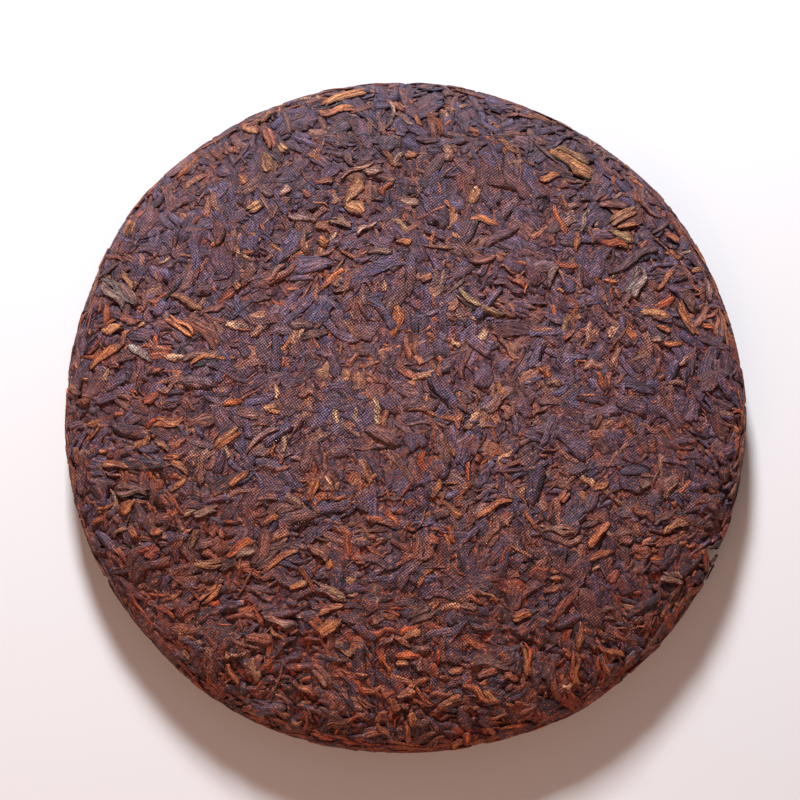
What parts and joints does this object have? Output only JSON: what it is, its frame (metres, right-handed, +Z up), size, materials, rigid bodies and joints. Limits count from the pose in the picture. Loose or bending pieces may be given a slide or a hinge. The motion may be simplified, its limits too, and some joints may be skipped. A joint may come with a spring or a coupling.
{
  "type": "pressed tea cake",
  "caption": "Round domed cake of pressed dark ripe tea leaves with a rounded rim and a knot hollow in its back, lying on its back.",
  "frame": {"origin": "on the table, under the middle of the cake's bounding box", "axes": "+Z up out of the domed front face, +X to the right and +Y away as seen from the front"},
  "size_m": [0.1984, 0.1982, 0.0256],
  "materials": {
    "pressed_leaf": "dark purple-brown pressed dry leaf, satin"
  },
  "bodies": {
    "root": {"tea_cake": "pressed_leaf"}
  },
  "joints": []
}
